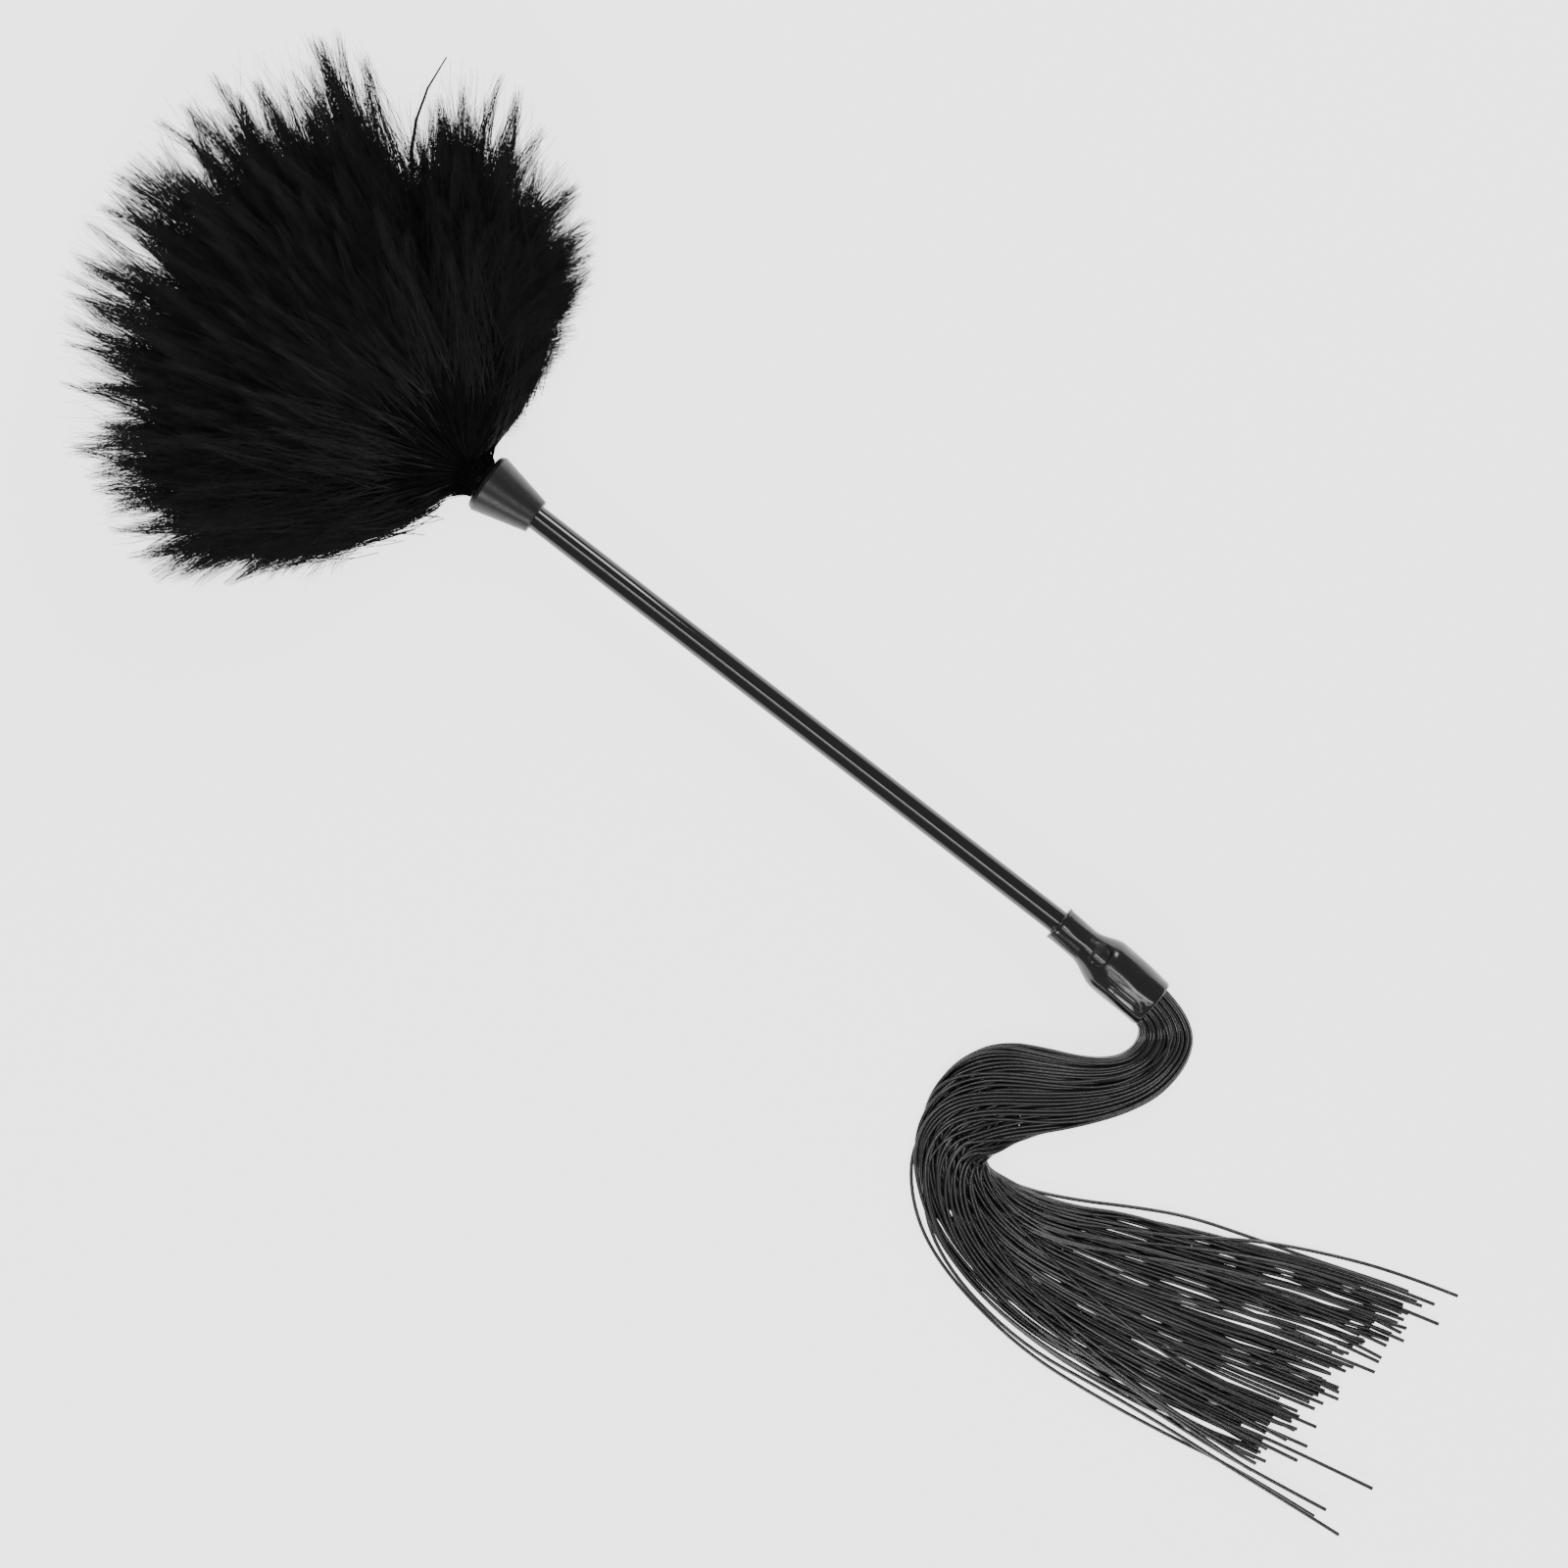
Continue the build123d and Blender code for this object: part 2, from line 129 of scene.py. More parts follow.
# ---------------------------------------------------------------- camera
# looks straight down; the rod runs down to the right of the frame
MIDDLE = Vector((-4.5, -9.3, 8.0))
CAMERA_HEIGHT = 1300
CAMERA_TURN = 37.8  # degrees
camera_data = bpy.data.cameras.new("camera")
camera_data.sensor_width = 36
camera_data.lens = 102.2
camera_data.clip_start = 0.01
camera_data.clip_end = 20
camera = bpy.data.objects.new("camera", camera_data)
bpy.context.scene.collection.objects.link(camera)
camera.location = (MIDDLE + Vector((0, 0, CAMERA_HEIGHT))) * MM
camera.rotation_euler = (0, 0, radians(CAMERA_TURN))
bpy.context.scene.camera = camera


# ---------------------------------------------------------------- materials
def new_material(name, color, roughness, specular=0.5, coat=0.0):
    material = bpy.data.materials.new(name)
    material.use_nodes = True
    shader = material.node_tree.nodes["Principled BSDF"]
    shader.inputs["Base Color"].default_value = (*color, 1)
    shader.inputs["Roughness"].default_value = roughness
    shader.inputs["Specular IOR Level"].default_value = specular
    shader.inputs["Coat Weight"].default_value = coat
    shader.inputs["Coat Roughness"].default_value = 0.06
    return material


def add_noise(material, scale, detail, stretch=(1, 1, 1)):
    tree = material.node_tree
    place = tree.nodes.new("ShaderNodeTexCoord")
    mapping = tree.nodes.new("ShaderNodeMapping")
    mapping.inputs["Scale"].default_value = stretch
    noise = tree.nodes.new("ShaderNodeTexNoise")
    noise.inputs["Scale"].default_value = scale
    noise.inputs["Detail"].default_value = detail
    tree.links.new(place.outputs["Object"], mapping.inputs["Vector"])
    tree.links.new(mapping.outputs["Vector"], noise.inputs["Vector"])
    return noise


def vary(material, noise, socket, low, high):
    """The noise drives one number of the shader between low and high."""
    tree = material.node_tree
    span = tree.nodes.new("ShaderNodeMapRange")
    span.inputs["From Min"].default_value = 0.3
    span.inputs["From Max"].default_value = 0.7
    span.inputs["To Min"].default_value = low
    span.inputs["To Max"].default_value = high
    tree.links.new(noise.outputs["Fac"], span.inputs["Value"])
    tree.links.new(span.outputs["Result"], tree.nodes["Principled BSDF"].inputs[socket])


def tint(material, noise, dark, light):
    """The noise moves the colour between two shades."""
    tree = material.node_tree
    ramp = tree.nodes.new("ShaderNodeValToRGB")
    ramp.color_ramp.elements[0].position = 0.3
    ramp.color_ramp.elements[0].color = (*dark, 1)
    ramp.color_ramp.elements[1].position = 0.7
    ramp.color_ramp.elements[1].color = (*light, 1)
    tree.links.new(noise.outputs["Fac"], ramp.inputs["Fac"])
    tree.links.new(ramp.outputs["Color"], tree.nodes["Principled BSDF"].inputs["Base Color"])


def bump(material, noise, strength, distance):
    tree = material.node_tree
    relief = tree.nodes.new("ShaderNodeBump")
    relief.inputs["Strength"].default_value = strength
    relief.inputs["Distance"].default_value = distance
    tree.links.new(noise.outputs["Fac"], relief.inputs["Height"])
    tree.links.new(relief.outputs["Normal"], tree.nodes["Principled BSDF"].inputs["Normal"])


rod_material = new_material("gloss_black_rod", (0.006, 0.006, 0.006), 0.05)
rod_streak = add_noise(rod_material, 60, 3, (0.06, 1, 1))
vary(rod_material, rod_streak, "Roughness", 0.035, 0.07)
bump(rod_material, rod_streak, 0.01, 0.0002)

ferrule_material = new_material("moulded_black_ferrule", (0.006, 0.006, 0.0065), 0.36, specular=0.4)
ferrule_grain = add_noise(ferrule_material, 900, 4)
vary(ferrule_material, ferrule_grain, "Roughness", 0.32, 0.42)
bump(ferrule_material, ferrule_grain, 0.12, 0.0002)

sleeve_material = new_material("shrunk_black_sleeve", (0.006, 0.006, 0.0065), 0.16)
sleeve_waves = add_noise(sleeve_material, 210, 3, (0.5, 1, 1))
vary(sleeve_material, sleeve_waves, "Roughness", 0.1, 0.24)
bump(sleeve_material, sleeve_waves, 0.1, 0.0004)

pin_material = new_material("domed_black_pin", (0.004, 0.004, 0.004), 0.5, specular=0.35)
pin_grain = add_noise(pin_material, 400, 2)
vary(pin_material, pin_grain, "Roughness", 0.46, 0.56)
bump(pin_material, pin_grain, 0.02, 0.0001)

strand_material = new_material("black_silicone_strand", (0.011, 0.011, 0.0115), 0.36)
strand_tone = add_noise(strand_material, 160, 3)
tint(strand_material, strand_tone, (0.008, 0.008, 0.0085), (0.015, 0.015, 0.016))
vary(strand_material, strand_tone, "Roughness", 0.15, 0.24)
strand_skin = add_noise(strand_material, 2200, 2)
bump(strand_material, strand_skin, 0.06, 0.0001)

down_material = new_material("black_down_barbs", (0.0035, 0.0035, 0.0038), 0.62, specular=0.28)
down_tone = add_noise(down_material, 70, 5)
tint(down_material, down_tone, (0.003, 0.003, 0.0032), (0.013, 0.0128, 0.013))
vary(down_material, down_tone, "Roughness", 0.5, 0.75)

# a darker, matte copy of the down's black: painted shade, for the self-shadowed heart of the plume and for
# the neck hairs
shaded_down_material = new_material("dense_down_painted_shade", (0.003, 0.003, 0.003), 1.0, specular=0.1)
shaded_down_tone = add_noise(shaded_down_material, 300, 5)
tint(shaded_down_material, shaded_down_tone, (0.002, 0.002, 0.002), (0.005, 0.005, 0.005))
bump(shaded_down_material, shaded_down_tone, 0.8, 0.001)

quill_material = new_material("dyed_quill", (0.005, 0.005, 0.005), 0.55, specular=0.3)
quill_tone = add_noise(quill_material, 120, 3)
tint(quill_material, quill_tone, (0.003, 0.003, 0.003), (0.008, 0.0075, 0.007))

glue_material = new_material("hardened_glue", (0.16, 0.15, 0.12), 0.25)
glue_tone = add_noise(glue_material, 300, 3)
tint(glue_material, glue_tone, (0.11, 0.1, 0.08), (0.2, 0.18, 0.14))
bump(glue_material, glue_tone, 0.3, 0.0005)

thread_material = new_material("black_binding_thread", (0.008, 0.008, 0.008), 0.7, specular=0.3)
thread_twist = add_noise(thread_material, 1500, 3)
bump(thread_material, thread_twist, 0.5, 0.0002)
tint(thread_material, thread_twist, (0.005, 0.005, 0.005), (0.014, 0.014, 0.015))

tie_material = new_material("black_root_tie", (0.012, 0.012, 0.012), 0.45)
tie_grain = add_noise(tie_material, 800, 3)
bump(tie_material, tie_grain, 0.1, 0.0002)

floor_material = new_material("pale_floor", (0.93, 0.93, 0.93), 0.9, specular=0.1)
floor_material.node_tree.nodes["Principled BSDF"].inputs["Emission Color"].default_value = (1, 1, 1, 1)
floor_material.node_tree.nodes["Principled BSDF"].inputs["Emission Strength"].default_value = 2.2
floor_tone = add_noise(floor_material, 3, 2)
tint(floor_material, floor_tone, (0.925, 0.925, 0.925), (0.935, 0.935, 0.935))


def paint(node_name, material):
    mesh = nodes[node_name].data
    if not mesh.materials:
        mesh.materials.append(material)
    for index in range(len(mesh.materials)):
        mesh.materials[index] = material
    nodes[node_name].material_slots[0].material = material


paint("handle_rod", rod_material)
paint("ferrule", ferrule_material)
paint("ferrule_glue", glue_material)
paint("root_glue", glue_material)
paint("quill_whipping", thread_material)
paint("tassel_pin", pin_material)
paint("root_tie", tie_material)


# ---------------------------------------------------------------- strands
def packed_roots():
    """Strand centres, aside and above the sleeve axis, in a hexagonal pack that fills the mouth."""
    limit = SLEEVE_MOUTH_BORE_R - STRAND_R - 0.04
    roots = []
    for row in range(-7, 8):
        above = row * STRAND_PITCH * 0.8661
        for step in range(-8, 9):
            aside = (step + 0.5 * (row % 2)) * STRAND_PITCH
            if hypot(aside, above) <= limit:
                roots.append((aside, above))
    return np.array(roots)


def settle(section, half_width, rounds):
    """Strands of one cross section sink on to the floor and push each other apart."""
    floor = STRAND_R + 0.05
    for turn in range(rounds):
        section[:, 1] -= 0.05 if turn < rounds * 0.7 else 0.0
        for axis_pass in range(3):
            gaps = section[:, None, :] - section[None, :, :]
            spans = np.hypot(gaps[:, :, 0], gaps[:, :, 1]) + np.eye(len(section)) * 99
            push = np.clip(STRAND_GAP - spans, 0, None) / spans / 2
            section = section + (gaps * push[:, :, None]).sum(axis=1) * 0.9
            section[:, 0] = np.clip(section[:, 0], -half_width, half_width)
            section[:, 1] = np.maximum(section[:, 1], floor)
    return section


def strand_routes():
    """The points of every strand, from its root in the sleeve to its cut end, as in the CAD."""
    chance = np.random.default_rng(11)
    roots = packed_roots()
    count = len(roots)
    mouth = rod_enters_sleeve + sleeve_direction * SLEEVE_LENGTH
    inner = rod_enters_sleeve + sleeve_direction * STRAND_ROOT_AT
    points = []
    for aside, above in roots:
        shift = sleeve_side * float(aside) + sleeve_up * float(above)
        points.append([inner + shift, mouth + shift])
    section = roots.copy()
    section[:, 1] += mouth.z
    width = ROUTE[0][2]
    drift = chance.normal(0, 0.035, count)
    ways = [(cos(radians(point[3])), sin(radians(point[3]))) for point in ROUTE]
    offsets = [section.copy()]
    for index in range(1, len(ROUTE)):
        half_width = ROUTE[index][2]
        middle = section[:, 1].mean()
        tall = max(section[:, 1].max() - middle, 1.0)
        roll = radians(ROLL[index])
        across = section[:, 0] / width
        upward = (section[:, 1] - middle) / tall
        drift = 0.6 * drift + chance.normal(0, 0.03, count)
        turned = across * cos(roll) - upward * sin(roll) + drift
        lifted = across * sin(roll) + upward * cos(roll)
        flatter = min(1.0, width / half_width)
        section = np.stack([turned * half_width, middle * flatter + lifted * tall * flatter], axis=1)
        section = settle(section, half_width, 60)
        width = half_width
        offsets.append(section.copy())
    # in the tight bend a strand keeps its place in the bundle, which eases its arc
    # strands pass through each other there
    for index in (10, 11, 10, 11, 10, 11, 9, 12):
        offsets[index] = 0.3 * offsets[index] + 0.35 * (offsets[index - 1] + offsets[index + 1])
    ends = [17.72 + 0.62 * value / ROUTE[-2][2] + chance.normal(0, 0.16) for value in offsets[-2][:, 0]]
    order = np.argsort(offsets[-3][:, 0])
    for place, bow, lean, end in STRAYS:
        strand = order[place]
        ends[strand] = end
        for index in range(9, len(ROUTE)):
            bowed = bow * sin(pi * min(max(index - 9, 0) / 8, 1.0))
            leaned = lean * max(index - 15, 0) / 3
            offsets[index][strand, 0] += bowed + leaned
    tops = np.argsort(-offsets[14][:, 1])
    tops = [strand for strand in tops if abs(offsets[14][strand, 0]) < 18]
    for strand, cross in zip(tops[::2], CROSSINGS):
        for index in range(12, len(ROUTE)):
            share = min(max(index - 12, 0) / 5, 1.0)
            share = share * share * (3 - 2 * share)
            offsets[index][strand, 0] += cross * share
            offsets[index][strand, 1] = max(offsets[index][strand, 1], 4.4 * min(share * 3, 1.0))
    for strand in range(count):
        end = min(max(ends[strand], 16.6), len(ROUTE) - 1.02)
        whole = int(end)
        for index in range(1, whole + 2):
            x, y, half_width, heading = ROUTE[index]
            aside, above = (float(value) for value in offsets[index][strand])
            way = ways[index]
            spot = Vector((X0 + x - way[1] * aside, Y0 + y + way[0] * aside, above))
            if index == whole + 1:
                last = points[strand][-1]
                share = end - whole
                spot = last + (spot - last) * max(share, 0.25)
            points[strand].append(spot)
    return points


def strand_curve(name, points):
    data = bpy.data.curves.new(name, "CURVE")
    data.dimensions = "3D"
    data.bevel_depth = STRAND_R * MM
    data.bevel_resolution = 2
    data.use_fill_caps = True
    data.resolution_u = 5
    spline = data.splines.new("NURBS")
    spline.points.add(len(points) - 1)
    for point, place in zip(spline.points, points):
        point.co = (*(place * MM), 1)
    spline.order_u = 3
    spline.use_endpoint_u = True
    spline.resolution_u = 5
    data.materials.append(strand_material)
    piece = bpy.data.objects.new(name, data)
    bpy.context.scene.collection.objects.link(piece)
    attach(piece, "root")
    return piece


routes = strand_routes()
# the most cords that may be declared, taken at even steps
DECLARED = 40  # strands picked below at even steps; nothing further is done with them
for index, points in enumerate(routes):
    piece = strand_curve(f"strand_{index + 1:03d}", points)
    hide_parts(f"tassel_strands_{index // STRANDS_PER_NODE + 1:02d}")
every = len(routes) / DECLARED
for turn in range(DECLARED):
    index = int(turn * every)
    points = routes[index]


# ---------------------------------------------------------------- mesh help
def mesh_piece(name, vertices, faces, material, smooth=True):
    data = bpy.data.meshes.new(name)
    vertices = np.asarray(vertices, dtype=np.float32)
    faces = np.asarray(faces, dtype=np.int32)
    data.vertices.add(len(vertices))
    data.vertices.foreach_set("co", (vertices * MM).ravel())
    corners = faces.shape[1]
    data.loops.add(faces.size)
    data.loops.foreach_set("vertex_index", faces.ravel())
    data.polygons.add(len(faces))
    data.polygons.foreach_set("loop_start", np.arange(0, faces.size, corners, dtype=np.int32))
    data.update(calc_edges=True)
    data.validate()
    if smooth:
        data.polygons.foreach_set("use_smooth", np.ones(len(faces), dtype=bool))
    data.materials.append(material)
    piece = bpy.data.objects.new(name, data)
    bpy.context.scene.collection.objects.link(piece)
    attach(piece, "root")
    return piece


# ---------------------------------------------------------------- sleeve
def smooth_step(value):
    value = np.clip(value, 0, 1)
    return value * value * (3 - 2 * value)


def sleeve_radius(t):
    """Outer radius of the shrunk tube, t mm from its collar."""
    neck = SLEEVE_NECK_R + 0.25 * np.exp(-t / 0.7)
    flare = smooth_step((t - 9.5) / 10.0)
    wide = SLEEVE_WIDE_R - 0.4 * smooth_step((t - 22) / 14)
    return neck + (wide - neck) * flare


def sleeve_relief(t, angle):
    """Folds, the rib that runs to the mouth, and the hollow round the pin.

    Angle 0 is up, and positive towards the +Y side, in radians.
    """
    relief = -0.35 * np.exp(-(((t - PIN_AT) / 3.0) ** 2) - (angle / 0.5) ** 2)
    rib = np.exp(-(((angle + 0.36) / 0.13) ** 2))
    relief += 0.28 * rib * smooth_step((t - 18) / 3) * smooth_step((36.0 - t) / 2)
    groove = np.exp(-(((angle + 0.62) / 0.1) ** 2))
    relief -= 0.3 * groove * smooth_step((t - 21) / 4) * smooth_step((35.5 - t) / 3)
    relief += 0.5 * np.exp(-(((t - 33.6) / 1.2) ** 2) - ((angle + 0.42) / 0.17) ** 2)
    relief += 0.06 * np.sin(3 * angle + 0.35 * t) * smooth_step((t - 16) / 6)
    relief += 0.025 * np.sin(7 * angle - 0.5 * t)
    relief += 0.22 * np.exp(-(((t - 0.4) / 0.5) ** 2)) * (0.5 + 0.5 * np.cos(angle - 0.5))
    return relief


RINGS = 150
SIDES = 160
MOUTH_BORE_R = 7.08  # just clear of the strands
ROOT_BORE_R = 7.5
ROOT_BORE_TO = 28.5  # the wider bore round the strand roots ends here
COLLAR_BORE_R = 3.95  # just clear of the rod
WELL_FLOOR_R = 5.5
outer_t = np.linspace(0, SLEEVE_LENGTH, RINGS)
angles = np.linspace(-pi, pi, SIDES, endpoint=False)
grid_t, grid_a = np.meshgrid(outer_t, angles, indexing="ij")
outer_r = sleeve_radius(grid_t) + sleeve_relief(grid_t, grid_a)
# the well that the pin's head sits in
from_pin = np.hypot(grid_t - PIN_AT, 6.0 * (grid_a - PIN_ASIDE))
well = 1 - smooth_step((from_pin - PIN_HEAD_R - 0.1) / 0.9)
outer_r = outer_r * (1 - well) + np.minimum(outer_r, WELL_FLOOR_R) * well
lip = SLEEVE_LENGTH - grid_t
outer_r -= 0.45 * np.exp(-lip / 0.35)
outer_r = np.where(grid_t < 0.35, outer_r - 0.5 * (0.35 - grid_t), outer_r)
inner_t = np.linspace(SLEEVE_LENGTH, SLEEVE_SHOULDER_AT, 24)
inner_grid_t, inner_grid_a = np.meshgrid(inner_t, angles, indexing="ij")
inner_r = np.where(inner_grid_t > ROOT_BORE_TO, MOUTH_BORE_R, ROOT_BORE_R)
neck_t = np.array([0.0, 0.6, 4.0])
neck_grid_t, neck_grid_a = np.meshgrid(neck_t[::-1], angles, indexing="ij")
neck_r = np.full_like(neck_grid_t, COLLAR_BORE_R)


def sleeve_points(t, angle, radius):
    axis = np.array(rod_enters_sleeve)[None, None, :] + t[:, :, None] * np.array(sleeve_direction)
    side = np.sin(angle)[:, :, None] * np.array(sleeve_side)
    up = np.cos(angle)[:, :, None] * np.array(sleeve_up)
    return axis + radius[:, :, None] * (side + up)


stack = [
    sleeve_points(neck_grid_t, neck_grid_a, neck_r),
    sleeve_points(grid_t, grid_a, outer_r),
    sleeve_points(inner_grid_t, inner_grid_a, inner_r),
]
rows = np.concatenate(stack)
rows[:, :, 2] = np.maximum(rows[:, :, 2], 0.02)
row_count = len(rows)
quads = []
for row in range(row_count - 1):
    for side in range(SIDES):
        nxt = (side + 1) % SIDES
        this, after = row * SIDES, (row + 1) * SIDES
        quads.append((this + side, after + side, after + nxt, this + nxt))
last_row = (row_count - 1) * SIDES
for side in range(SIDES):
    nxt = (side + 1) % SIDES
    quads.append((last_row + side, side, nxt, last_row + nxt))
sleeve = mesh_piece("shrunk_sleeve", rows.reshape(-1, 3), quads, sleeve_material)
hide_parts("tassel_sleeve")

# a small bead at the sleeve's collar
BEAD_RINGS = 7
BEAD_SIDES = 12
bead_vertices = []
bead_faces = []
for ring in range(BEAD_RINGS):
    tilt = pi * ring / (BEAD_RINGS - 1)
    for side in range(BEAD_SIDES):
        around = 2 * pi * side / BEAD_SIDES
        local = Vector((0.75 * cos(tilt), 0.6 * sin(tilt) * cos(around), 0.45 * sin(tilt) * sin(around)))
        place = rod_enters_sleeve + rod_direction * (-0.15) + Vector((0, -1.7, 3.6)) + local
        bead_vertices.append(tuple(place))
for ring in range(BEAD_RINGS - 1):
    this, after = ring * BEAD_SIDES, (ring + 1) * BEAD_SIDES
    for side in range(BEAD_SIDES):
        nxt = (side + 1) % BEAD_SIDES
        bead_faces.append((this + side, this + nxt, after + nxt, after + side))
bead = mesh_piece("collar_glue_bead", bead_vertices, bead_faces, sleeve_material)

# ---------------------------------------------------------------- plume
NECK = rod_leaves_ferrule + plume_direction * FAN_AT
# how far the down reaches from the neck, mm, at each azimuth off -X towards +Y, degrees
REACH_AT = [
    -76, -68, -64, -59, -52, -41, -32, -15, -6, 5, 13, 24,
    33, 37, 41, 45, 49, 56, 62, 69, 80, 86, 94,
]
REACH_TO = [
    26, 52, 76, 96, 106, 114, 121, 133, 137, 141, 141, 141,
    140, 132, 112, 116, 122, 118, 112, 97, 78, 62, 24,
]
CORE_TO = [
    14, 38, 60, 76, 86, 92, 97, 102, 104, 107, 108, 106,
    90, 84, 82, 92, 96, 94, 88, 74, 54, 38, 12,
]


def reach(azimuth):
    return np.interp(azimuth, REACH_AT, REACH_TO)


def core_reach(azimuth):
    return np.interp(azimuth, REACH_AT, CORE_TO)


def rise_share(rise):
    """How much of the reach is left at a rise above the floor, degrees."""
    return 1.0 - 0.5 * smooth_step((rise - 6) / 46)


def ball_points(azimuth, rise, radius):
    flat = radius * np.cos(np.radians(rise))
    x = NECK.x - flat * np.cos(np.radians(azimuth))
    y = NECK.y + flat * np.sin(np.radians(azimuth))
    z = NECK.z + radius * np.sin(np.radians(rise))
    return np.stack([x, y, z], axis=-1)


# each layer of feathers: name, azimuth of every feather, rise above the floor, degrees
LAYERS = [
    ("lower", [-60, -43, -26, -9, 8, 25, 42, 59, 76], 4.0),
    ("middle", [-51, -34, -17, 0, 17, 34, 51, 68], 18.2),
    ("upper", [-27, -9, 9, 27, 45], 32.4),
]
NOTCH_AT = 38.5  # azimuth of the pale notch in the rim
NOTCH_HALF_WIDTH = 4.0
chance = np.random.default_rng(23)


def barbs(azimuth, rise, start, stop, spread, width, sweep):
    """Thin three-sided hairs from start to stop along a ray that bends by sweep; all inputs are arrays."""
    count = len(azimuth)
    segments = 5
    t = np.linspace(0, 1, segments + 1)[None, :]
    radius = start[:, None] + (stop - start)[:, None] * t
    gather = (1 - t) ** 1.2
    bend = t * t
    a = azimuth[:, None] + spread[0][:, None] * gather + sweep[0][:, None] * bend
    e = rise[:, None] + spread[1][:, None] * gather + sweep[1][:, None] * bend
    centre = ball_points(a, e, radius)
    centre[:, :, 2] = np.maximum(centre[:, :, 2], 0.35 + 0.3 * chance.random((count, 1)))
    return hair_skin(centre, width)


def hair_skin(centre, width):
    """A thin three-sided taper round each line of points."""
    count = len(centre)
    segments = centre.shape[1] - 1
    t = np.linspace(0, 1, segments + 1)[None, :]
    along = np.gradient(centre, axis=1)
    along /= np.linalg.norm(along, axis=2, keepdims=True) + 1e-9
    up = np.array([0, 0, 1.0])
    side = np.cross(along, up)
    side /= np.linalg.norm(side, axis=2, keepdims=True) + 1e-9
    lift = np.cross(side, along)
    taper = (1.0 - 0.72 * t) * width[:, None] / 2
    rings = []
    for corner in range(3):
        turn = 2 * pi * corner / 3 + 0.5
        rings.append(centre + taper[:, :, None] * (side * cos(turn) + lift * sin(turn)))
    vertices = np.stack(rings, axis=2).reshape(-1, 3)
    first = np.arange(count)[:, None, None] * (segments + 1) * 3
    step = np.arange(segments)[None, :, None] * 3
    base = first + step
    faces = []
    for corner in range(3):
        nxt = (corner + 1) % 3
        quad = np.concatenate([base + corner, base + nxt, base + 3 + nxt, base + 3 + corner], axis=2)
        faces.append(quad.reshape(-1, 4))
    return vertices, np.concatenate(faces)


def tufts(a, e, begin, end, hairs, base, tip, stagger, curl):
    """Hairs of each tuft stand apart by base mm where they start and gather to tip mm at the point."""
    count = len(a) * hairs
    a = np.repeat(a, hairs)
    e = np.repeat(e, hairs)
    start = np.maximum(np.repeat(begin, hairs) + chance.normal(0, 3.0, count), 4)
    stop = np.repeat(end, hairs) - np.abs(chance.normal(0, 1, count)) * stagger
    stop = np.maximum(stop, start + 6)
    apart = np.degrees(base / np.maximum(start, 25))
    spread_a = chance.normal(0, 1.0, count) * apart
    spread_e = chance.normal(0, 0.65, count) * apart
    loose = np.degrees(tip / np.maximum(stop, 40))
    sweep_a = np.repeat(curl, hairs) + chance.normal(0, 1.0, count) * loose
    sweep_e = chance.normal(-1.5, 1.2, count)
    return [a, e, start, stop, spread_a, spread_e, sweep_a, sweep_e]


def edge_lean(azimuth):
    """Down at the two edges of the plume falls outwards, degrees."""
    return 10 * smooth_step((azimuth - 48) / 24) - 5 * smooth_step((-46 - azimuth) / 20)


def feather(azimuth_0, rise_0, inner, points):
    """One feather's down: short tufts near its quill, long pointed ones at the rim, and a few wisps."""
    a = np.clip(azimuth_0 + chance.normal(0, 7.5, inner), -68, 74)
    e = np.clip(rise_0 + chance.normal(0, 6.0, inner), -3, 50)
    full = reach(a) * rise_share(e)
    dense = core_reach(a) * rise_share(e)
    end = dense * (0.35 + 0.65 * chance.random(inner) ** 0.6)
    end = end + (full - dense) * 0.35 * chance.random(inner)
    begin = np.maximum(np.minimum(end - 20 - 16 * chance.random(inner), end - 14), 5)
    short = tufts(a, e, begin, end, 14, 3.2, 1.6, 3.0, chance.normal(0, 3.0, inner))
    a = np.clip(azimuth_0 + np.linspace(-10, 10, points) + chance.normal(0, 0.7, points), -68, 76)
    e = np.clip(rise_0 + chance.normal(0, 4.0, points), -3, 50)
    curl = chance.normal(0, 1, points) * np.where(a > 52, 4.5, 2.2) + edge_lean(a)
    keep = (np.abs(a + curl - NOTCH_AT) > NOTCH_HALF_WIDTH) | (chance.random(points) < 0.35)
    end = reach(a + curl) * rise_share(e) * np.where(keep, 0.80 + 0.2 * chance.random(points), 0.76)
    begin = end * (0.5 + 0.15 * chance.random(points))
    long = tufts(a, e, begin, end, 42, 3.4, 0.9, 6.5, curl)
    wisps = 190
    a = np.clip(azimuth_0 + chance.uniform(-11, 11, wisps), -68, 78)
    e = np.clip(rise_0 + chance.normal(0, 5.0, wisps), -3, 50)
    curl = chance.normal(0, 3.5, wisps) + edge_lean(a) * 2 * chance.random(wisps)
    end = reach(a + curl) * rise_share(e) * (0.66 + 0.34 * chance.random(wisps))
    begin = end * (0.35 + 0.3 * chance.random(wisps))
    stray = tufts(a, e, begin, end, 1, 1.0, 1.0, 1.0, curl)
    joined = [np.concatenate(three) for three in zip(short, long, stray)]
    a, e, start, stop, spread_a, spread_e, sweep_a, sweep_e = joined
    width = chance.uniform(0.17, 0.33, len(a))
    return barbs(a, e, start, stop, (spread_a, spread_e), width, (sweep_a, sweep_e))


INNER = 165
POINTS = 34
index = 0
for layer, azimuths, rise_0 in LAYERS:
    for azimuth_0 in azimuths:
        index += 1
        vertices, faces = feather(azimuth_0, rise_0, INNER, POINTS)
        name = f"feather_{layer}_{index:02d}"
        piece = mesh_piece(f"down_{index:02d}", vertices, faces, down_material)
        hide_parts(name)
